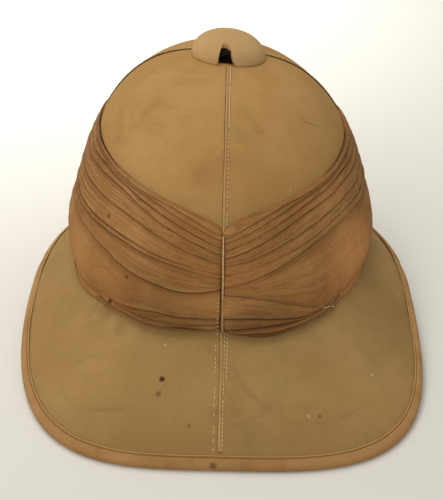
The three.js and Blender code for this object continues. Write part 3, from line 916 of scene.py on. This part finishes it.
@lru_cache(None)
def pagri_profile(turn):
    """Height, lift, painted crease shade and painted lip highlight of each row round one section of the
    pagri, from its foot
    """
    foot, top = pagri_foot(turn), pagri_top(turn)

    def thickness(height):
        thin = 1.5 * hump(turn - 278, 26) * ease((height - foot) / 12)
        rolled = mix(foot_thickness(turn), pagri_foot_thickness, ease((height - foot - 2) / 12))
        return mix(rolled, pagri_top_thickness, ease(((height - foot) / (top - foot) - 0.12) / 0.5)) - thin

    levels = fold_levels(turn)
    # Painted shade under the rolled foot, darkest where it tucks under.
    rows = [(foot + 1.5, 0.3, 0.9, 0)]
    half = foot_thickness(turn) / 2
    for angle in (-125, -95, -65, -35, -10):
        rows.append((foot + half * 0.5 + half * 0.5 * sin(radians(angle)),
                     half + 0.2 + half * cos(radians(angle)), 0.75 - (angle + 125) / 230, 0))
    for i, name in enumerate(fold_names):
        height, above = levels[i], levels[i + 1]
        deep = along_turns(fold_depths[name], turn) * (1 + 0.25 * rough(turn * 1.1, i * 5.3, 0, 11, 8))
        size, thick, room = abs(deep), thickness(height), above - height
        crease_shade = held(size / 1.1)
        size *= 1 if i < 3 else fold_press
        flat = 1 - loose(turn) if i < 3 else 1 if i < 4 else mix(0.4, 1, ease(min(turn, 360 - turn) / 42))
        crease_shade *= flat
        if deep >= 0:
            rows += lapped_edge(height, size, thick, crease_shade, room)
        else:
            rows += sunk_edge(height, size, thick, crease_shade)
        after = along_turns(fold_depths[fold_names[i + 1]], turn) if i + 1 < len(fold_names) else 0.3
        start = 0.42 * size if deep >= 0 else -0.35 * size
        stop = -0.32 * fold_press * after if after >= 0 else 0.42 * abs(after)
        under = held(after / 0.8) * (flat if i not in (2, 3) else 1)
        beside, nose = min(1.2, 0.34 * room), above - 0.16 * max(after, 0)
        full = height + min(0.5 * size, 0.2 * room)
        bellies = [(mix(full, nose - beside, share), 0.0) for share in belly_shares]
        bellies += [(nose - beside * 0.55, 0.4), (nose - beside * 0.1, 1.0)]
        for there, shade in bellies:
            share = held((there - height) / room)
            swell = min(room / 9, 1) * 0.55 * sin(pi * share)
            streak = 0.35 * rough(turn * 0.5, i * 7 + share * room * 0.55, 0, 2.6, 1) * min(room / 5, 1)
            rows.append((there, thickness(there) + mix(start, stop, share ** 4) + swell + streak,
                         shade * under, 0.25 * (1 - share) * crease_shade))
    # Along the top edge: painted shade in a dark line where the folds are drawn tight, painted highlight
    # elsewhere; the inside rows are painted fully dark.
    pulled = ease((tightness(turn, top) - 0.3) / 0.5)
    rows += [(top - 0.1, pagri_top_thickness * 0.7, 0.6 * pulled, 0.3 * (1 - pulled)),
             (top, pagri_top_thickness * 0.35, mix(0.1, 0.95, pulled), 0),
             (top - 0.3, 0.15, mix(0.5, 1, pulled), 0)]
    rows += [(mix(top - 0.3, foot + 1.5, share), 0.15, 1, 0) for share in steps(8, 0, 1)[1:-1]]
    return rows


def tightness(turn, height):
    """Where the folds are drawn together at the sides, in narrow pleats"""
    side = hump(turn - 290, 22) + 0.9 * hump(turn - 66, 19)
    return (0.3 + 0.7 * min(side, 1)) * ease((height - 84) / 16)


def upright(turn, height):
    """Where the loose cloth on the right is puckered from top to bottom"""
    return hump(turn - 58, 17) * ease((height - 48) / 6) * ease((94 - height) / 24)


pagri_rows = len(pagri_profile(0.25))
pagri_turns = steps(560, 0.16, 359.84)


def draped(turn, height):
    """How far the cloth hangs clear of the corner between crown and brim at the sides"""
    foot, share = pagri_foot(turn) + 1.8, (height - pagri_foot(turn) - 1.8) / drape_height
    if loose(turn) <= 0 or not 0 < share < 1:
        return Vector((0, 0))
    low = body_spot(turn, foot, foot_thickness(turn))
    high = body_spot(turn, foot + drape_height, drape_thickness)
    hang = low.lerp(high, share) - body_spot(turn, height, mix(foot_thickness(turn), drape_thickness, share))
    return hang * loose(turn) if hang.x > 0 else Vector((0, 0))


def pagri_row(turn, row):
    return pagri_profile(turn)[row % pagri_rows]


@lru_cache(None)
def pagri_spot(turn, row):
    height, lift, *_ = pagri_row(turn, row)
    if lift > 1:
        around = turn * 1.7
        lift += upright(turn, height) * 1.5 * rough(turn, height / 9, 0, 1.9, 2)
        lift += 0.55 * rough(around, height * 0.8, 0, 24, 12) + 0.16 * rough(around, height * 2.2, 0, 6, 15)
        lift -= 0.9 * hump(min(turn, 360 - turn), 1.3)
    spot = body_spot(turn, height, max(lift, 0.15))
    return spot + draped(turn, height) if lift > 1 else spot


@lru_cache(None)
def pagri_length(row):
    turn = pagri_turns[40]
    return sum((pagri_spot(turn, i + 1) - pagri_spot(turn, i)).length for i in range(row))


pagri_mesh = woven(
    pagri_turns, pagri_rows,
    lambda turn, row: place(turn, *pagri_spot(turn, row)),
    lambda turn, row, panel: (azimuth(turn) * 0.11, pagri_length(row) / 1000),
    {"crease_shade": lambda turn, row: pagri_row(turn, row)[2],
     "tight": lambda turn, row: tightness(turn, pagri_row(turn, row)[0]),
     "upright": lambda turn, row: upright(turn, pagri_row(turn, row)[0]),
     "wear_and_highlight": lambda turn, row: pagri_row(turn, row)[3]})
close_ends(pagri_mesh)
pagri = new_object("pagri_cloth", pagri_mesh)

def cotton(name, base, light, red, dark):
    """Fine plain weave: pale warp, redder weft, with painted shade in fine creases"""
    cloth = Finish(name, 0.93, base)
    where = cloth.at()
    streaks = cloth.drawn(42, 620, 5, 0.7)
    pleats = cloth.drawn(16, 330, 3, 0.6, 0.4)
    fine_crease = cloth.band((pleats - 0.5).reckon("ABSOLUTE"), 0.0, 0.022, 1, 0)
    slubs = cloth.drawn(760, 120, 2, 0.6)
    patch = cloth.cloud(where, 30, 4, 0.6, 0.5)
    fine = cloth.cloud(where, 1100, 2, 0.7)
    cloth.lay(cloth.band(patch, 0.35, 0.68), light)
    cloth.lay(cloth.band(cloth.cloud(where, 18, 4, 0.6), 0.42, 0.7) * 0.6, red)
    cloth.lay(cloth.band(streaks, 0.5, 0.72) * 0.27, dark)
    cloth.lay(cloth.band(streaks, 0.46, 0.28) * 0.24, light)
    # Painted shade along fine creases, which the bump below dents a little.
    cloth.lay(fine_crease * cloth.band(patch, 0.4, 0.6) * 0.5, dark)
    cloth.lay(cloth.band(slubs, 0.5, 0.72) * 0.36 + cloth.band(fine, 0.55, 0.8) * 0.14, light)
    cloth.lay(cloth.band(fine, 0.5, 0.25) * 0.2, dark)
    cloth.weave = cloth.relief(slubs * 0.5 + fine * 0.8, 0.1, 0.9,
                               cloth.relief(streaks - fine_crease * 0.5, 0.5, 0.8))
    cloth.feed("Normal", cloth.weave)
    cloth.feed("Roughness", cloth.band(patch, 0.3, 0.8, 0.96, 0.84))
    return cloth


pagri_cotton = cotton("pagri_cotton", (155, 109, 60), (173, 127, 77), (155, 102, 53), (104, 68, 33))
# Painted highlight: pale lips on the folds, uneven along them.
paleness = pagri_cotton.band(pagri_cotton.cloud(pagri_cotton.at(), 90), 0.35, 0.6, 0.2, 0.62)
pagri_cotton.lay(pagri_cotton.attribute("wear_and_highlight") * paleness, (196, 152, 98))
drift = pagri_cotton.drawn(14, 90)
# Painted shade: dark lines between the narrow pleats where the folds are drawn together, with a matching
# bump.
pleat = (pagri_cotton.lie()[1] * (2 * pi * 1000 / pleat_pitch) + drift * 5).reckon("SINE")
pleat = pagri_cotton.band(pleat, 0.55, 0.98) * pagri_cotton.attribute("tight")
pleat = pleat * pagri_cotton.band(drift, 0.36, 0.6, 0.35, 1)
pagri_cotton.lay(pleat * 0.62, (80, 44, 17))
# Painted light and shade on the puckers: paler on their ridges, darker in their hollows.
pucker = pagri_cotton.drawn(330, 34, 3, 0.6, 0.3)
puckered = pagri_cotton.attribute("upright")
pagri_cotton.lay(pagri_cotton.band(pucker, 0.48, 0.66) * puckered * 0.6, (186, 132, 80))
pagri_cotton.lay(pagri_cotton.band(pucker, 0.46, 0.3) * puckered * 0.55, (112, 70, 34))
pagri_cotton.feed("Normal", pagri_cotton.relief(puckered * pucker - pleat, 0.9, 0.8, pagri_cotton.weave))
# Painted shade: dark lines in the creases under each fold's lip, under the rolled foot and along the top
# edge.
pagri_cotton.lay(pagri_cotton.attribute("crease_shade") * 0.9, (56, 28, 9))
low_back = pagri_cotton.below("Z", 50, 78) * pagri_cotton.below("Y", -112, -86)
pagri_cotton.lay(low_back * 0.34, (78, 48, 24))
for middle, radius, soft, strength, swatch in [
        ((28, -112, 46), 36, 0.5, 0.34, (70, 40, 18)),
        ((-42, -104, 62), 42, 0.3, 0.35, (84, 52, 22)),
        ((70.5, -80.5, 50.4), 3, 0.3, 0.85, (60, 34, 16)),
        ((93, -50, 66), 46, 0.2, 0.7, (206, 146, 88)),
        ((80, -55, 108), 44, 0.2, 0.3, (196, 140, 84)),
        ((-97, -45, 62), 34, 0.2, 0.45, (180, 132, 78)),
        ((-69.6, -80.4, 52), 2.4, 0.3, 0.9, (70, 44, 26)),
        ((-69.9, -57, 100.7), 2.2, 0.3, 0.7, (70, 44, 26)),
        ((-57.6, -83.5, 73.1), 1.9, 0.3, 0.6, (70, 44, 26))]:
    pagri_cotton.mark(middle, radius, soft, strength, swatch)
settle(pagri, pagri_cotton, "pagri_cloth", "pagri")

frayed = bmesh.new()
frayed_length = 4.6
fine_thread_radius = 0.2
for i in range(6):
    droop = 0.3 * rough(i * 1.7, 0, 0, 1.1, 3)
    middle = Vector((64.8 + 1.1 * i, -82.6 + 0.35 * i, 51.8 + droop)) / 1000
    run = Vector((1, 0.35 + 0.5 * rough(i * 2.3, 0, 0, 1, 5), 0.5 * rough(i * 1.3, 4, 0, 1, 7)))
    stitch(frayed, middle, run.normalized(), Vector((0.5, -0.75, 0.4)), frayed_length,
           fine_thread_radius)
settle(new_object("frayed_threads", frayed), pale_thread, "pagri_cloth")

# Pagri end. The last turn of the winding is hemmed, and its hem stands upright over the join at
# the back. Its folded edge is rubbed pale, and short hand stitches hold it near the foot.
end_rows = 16
hem_aside = 1.5
hem_stitch_aside = -1.6
hem_stitch_pitch = 2.6
hem_stitch_length = 1.7
end_steps = steps(120, 0.02, 1.01)


def end_spot(share, row):
    """One ring of the hem: a thin flat tube that follows the folds, with a raised outer lip"""
    height = mix(pagri_foot(0), pagri_top(0), share)
    thick = mix(pagri_foot_thickness, pagri_top_thickness, ease((share - 0.12) / 0.5))
    angle = 2 * pi * row / end_rows
    width = 0.66 + 0.12 * rough(share * 70, 0, 0, 7, 3)
    lip = 0.55 * hump(cos(angle) - 0.75, 0.3) * (sin(angle) > 0)
    lift = thick + 0.95 + 0.62 * sin(angle) + lip + 0.25 * rough(share * 70, 5, 0, 5, 3)
    aside = hem_aside - 1.4 * share + width * cos(angle) + 0.2 * rough(share * 70, 0, 3, 16, 1)
    return place(0, *body_spot(0.2, height, lift), aside)


def end_wear(share, row):
    angle = 2 * pi * row / end_rows
    paleness = 0.35 + 0.65 * ease((share - 0.3) / 0.25)
    return held(hump(cos(angle) - 0.5, 0.5) * paleness * (sin(angle) > -0.1))


end_mesh = woven(end_steps, end_rows,
                 lambda share, row: end_spot(share, row % end_rows),
                 lambda share, row, panel: (row * 0.0006, share * 0.07),
                 {"wear_and_highlight": end_wear})
close_ends(end_mesh)
bmesh.ops.recalc_face_normals(end_mesh, faces=end_mesh.faces)
hem_cotton = cotton("hem_cotton", (150, 106, 62), (166, 122, 76), (148, 98, 54), (98, 64, 34))
hem_cotton.lay(hem_cotton.attribute("wear_and_highlight"), (228, 192, 140))
settle(new_object("pagri_hem", end_mesh), hem_cotton, "pagri_cloth", "pagri_end")

hem_thread = bmesh.new()
run = Vector((1, 0, 0.25)).normalized()
for i in range(9):
    point = body_spot(358.6, 50 + i * hem_stitch_pitch, pagri_foot_thickness + 0.1)
    middle = place(0, *point, hem_stitch_aside + 0.2 * rough(i * 1.7, 0, 0, 1.3, 4))
    off = place(0, point.x + 1, point.y) - place(0, *point)
    stitch(hem_thread, middle, run, off, hem_stitch_length, fine_thread_radius)
settle(new_object("hem_stitches", hem_thread), pale_thread, "pagri_cloth")

# Vent cap. A hollow domed button, pressed from sheet and covered in the same drill, with an
# arched opening at the back and front. Its cloth is turned in over the rim and round the arches.
cap_radius = 24.5
cap_height = 15
cap_wall = 1.6
arch_width = 12.6
arch_height = 10.6
arch_flare = 0.14
arch_aside = -2.3
arch_share = 26.0
cap_squeeze = 0.1
cap_forward = 0.6
cap_lip = 0.5
cap_bevel = 1.2
cap_columns = steps(288, -180, 180)
cap_rows_out, cap_rows_lip, cap_rows_in = 34, 7, 14
cap_loop = cap_rows_out + cap_rows_lip + cap_rows_in


def squeeze(turn):
    """The button is a little shorter than it is wide"""
    return 1 - cap_squeeze * cos(radians(turn)) ** 2


@lru_cache(None)
def seat_height(turn):
    reach = (cap_radius - cap_wall) * squeeze(turn)
    return crown_point(turn, crown_along_at_reach(turn, reach)).y + cloth_clearance


@lru_cache(None)
def cap_foot(angle):
    """Azimuth and rise where a column of the dome starts, at the rim or on the arch's outline"""
    back = abs(angle) <= 90
    away = abs(angle) if back else 180 - abs(angle)
    top, foot = arch_width / 2 - 0.6, (arch_width / 2) * (1 + arch_flare)
    if away >= arch_share:
        corner = degrees(asin(foot / cap_radius))
        found, rise = mix(corner, 90, (away - arch_share) / (90 - arch_share)), 0.0
    else:
        side = arch_height - top
        run = away / arch_share * (side + top * pi / 2)
        bend = run / top
        if bend < pi / 2:
            x, z = top * sin(bend) ** 0.75, side + top * cos(bend)
        else:
            z = side + top * pi / 2 - run
            x = mix(top, foot, (1 - z / side) ** 1.8)
        rise = degrees(asin(z / cap_height))
        found = degrees(asin(x / (cap_radius * cos(radians(rise)))))
    return copysign(found if back else 180 - found, angle), rise


def cap_dome(angle, share, depth):
    """A point of the dome, from a column's foot at 0 to the pole at 1, some depth under its outside"""
    found, rise = cap_foot(angle)
    level = radians(mix(rise, 90, share))
    turn = mix(found, angle, ease(share))
    reach = (cap_radius - depth) * cos(level) * squeeze(turn)
    height = (cap_height - depth) * sin(level)
    seat = mix(seat_height(turn % 360), seat_height(0), held(height / (cap_height - cap_wall)))
    return turn % 360, reach, height + seat


def near_arch(angle, power):
    """1 in the middle of an arch, and 0 well beside it"""
    return hump(min(abs(angle), 180 - abs(angle)), arch_share, power)


def cap_place(angle, share, depth):
    turn, reach, height = cap_dome(angle, share, depth)
    near = near_arch(angle, 4) * (1 - ease(share * 2))
    return place(turn, reach, height) + Vector((arch_aside * near, cap_forward, 0)) / 1000


@lru_cache(None)
def cap_spot(angle, row):
    row = row % cap_loop
    near = near_arch(angle, 6)
    wall = cap_wall + cap_lip * near
    if row <= cap_rows_out:
        share = (1 - row / cap_rows_out) ** 1.35
        return cap_place(angle, share, cap_bevel * near * (1 - ease(share / 0.3)) ** 2)
    if row < cap_rows_out + cap_rows_lip:
        around = pi * (row - cap_rows_out) / cap_rows_lip
        bevel = cap_bevel * near
        rim, above = cap_place(angle, 0, bevel + wall / 2), cap_place(angle, 0.06, bevel + wall / 2)
        off = cap_place(angle, 0, bevel) - rim
        down = (rim - above).normalized() * off.length * mix(0.25, 0.7, near)
        return rim + off * cos(around) + down * sin(around)
    share = (row - cap_rows_out - cap_rows_lip) / (cap_rows_in - 1)
    return cap_place(angle, share, mix(wall + cap_bevel * near, cap_wall, ease(share * 3)))


cap_mesh = woven(cap_columns, cap_loop - 1, cap_spot,
                 lambda angle, row, panel: tuple(cap_spot(angle, row).xy),
                 {"inside": lambda angle, row: ease((row - cap_rows_out - 1) / cap_rows_lip),
                  "rim": lambda angle, row: hump(row - cap_rows_out, 7, 4) * near_arch(angle, 6)})
bmesh.ops.recalc_face_normals(cap_mesh, faces=cap_mesh.faces)
cap_drill = drill("cap_drill", (198, 160, 108), (208, 172, 122), (166, 126, 80), (190, 154, 102), 0.05, 0.8)
cap_drill.lay(cap_drill.attribute("rim") * 0.6, (140, 92, 50))
# Painted shade: the inside of the dome is painted nearly black.
cap_drill.lay(cap_drill.attribute("inside") * 0.98, (20, 16, 13))
settle(new_object("vent_cap_cover", cap_mesh), cap_drill, "drill", "vent_cap")

# Vent collar. A plain ring of dull grey metal, clamped in the vent hole, that carries the cap.
# Only its wall shows, through the arches, painted nearly black as painted shade in the cap. Its shape is the
# one in the frame.
# Painted shade: the metal's colour is made nearly black.
shade_darkened_metal = Finish("dull_grey_metal_painted_dark", 0.5, (14, 14, 15))
where = shade_darkened_metal.at()
scratch = shade_darkened_metal.cloud(shade_darkened_metal.stretched(where, (300.0, 300.0, 2200.0)), 1.0, 3, 0.6)
shade_darkened_metal.lay(shade_darkened_metal.cloud(where, 120, 4, 0.6), (38, 40, 44))
shade_darkened_metal.feed("Roughness", shade_darkened_metal.band(scratch, 0.3, 0.7, 0.42, 0.62))
shade_darkened_metal.feed("Metallic", 0.7)
shade_darkened_metal.feed("Normal", shade_darkened_metal.relief(scratch, 0.03, 0.5))
collar = bpy.data.objects["vent_collar"]
collar.data.materials.clear()
collar.data.materials.append(shade_darkened_metal.material)

# Stage. A pale floor under three lamps: a broad soft one overhead, another behind the camera on
# the left, and one that lights the floor beyond the helmet. The camera stands where the photo's
# did, behind the helmet and above it.
floor_mesh = bmesh.new()
bmesh.ops.create_grid(floor_mesh, x_segments=1, y_segments=1, size=6)
stage_floor = new_object("floor", floor_mesh)
stage_floor.data.materials.append(Finish("pale_floor", 0.6, (228, 226, 218)).material)


def lamp(name, kind, place_at, aim, power, colour, **settings):
    light = bpy.data.lights.new(name, kind)
    light.energy, light.color = power, colour
    for key, value in settings.items():
        setattr(light, key, value)
    lit = bpy.data.objects.new(name, light)
    lit.location = place_at
    lit.rotation_euler = (Vector(aim) - Vector(place_at)).to_track_quat("-Z", "Y").to_euler()
    bpy.context.scene.collection.objects.link(lit)


lamp("overhead", "AREA", (-0.35, -0.1, 1.6), (0, 0, 0.05), 9.2, (1, 0.975, 0.93), shape="DISK", size=1.2)
lamp("left", "AREA", (-0.9, -1.5, 1.2), (0, 0, 0.06), 8.6, (1, 0.97, 0.92), shape="DISK", size=1.0)
lamp("far_floor", "SPOT", (-0.4, 1.0, 1.6), (-0.4, 0.9, 0), 150, (1, 0.99, 0.98),
     spot_size=radians(72), spot_blend=1.0, shadow_soft_size=0.3)
world = bpy.data.worlds.new("studio")
bpy.context.scene.world = world
world.use_nodes = True
background = world.node_tree.nodes["Background"]
background.inputs["Color"].default_value = (1, 0.985, 0.96, 1)
background.inputs["Strength"].default_value = 0.46
bpy.context.scene.view_settings.view_transform = "Standard"

camera_elevation = radians(34.4)
camera_distance = 600.7
camera_turn = radians(0.6)
camera_roll = radians(0.87)
camera_target = Vector((-0.5, -13.0, 46.5))
turning_point = Vector((0.64, 17.0, 0.0))
camera_back = Vector((0, -cos(camera_elevation), sin(camera_elevation)))
around = Matrix.Rotation(camera_turn, 3, "Z")
camera_data = bpy.data.cameras.new("camera")
camera_data.sensor_width = 36
camera_data.lens = 61.92
camera_data.clip_start = 0.05
camera = bpy.data.objects.new("camera", camera_data)
bpy.context.scene.collection.objects.link(camera)
camera.location = (around @ (camera_target + camera_back * camera_distance - turning_point)
                   + turning_point) / 1000
facing = (-(around @ camera_back)).to_track_quat("-Z", "Y").to_matrix()
camera.rotation_euler = (facing @ Matrix.Rotation(camera_roll, 3, "Z")).to_euler()
bpy.context.scene.camera = camera
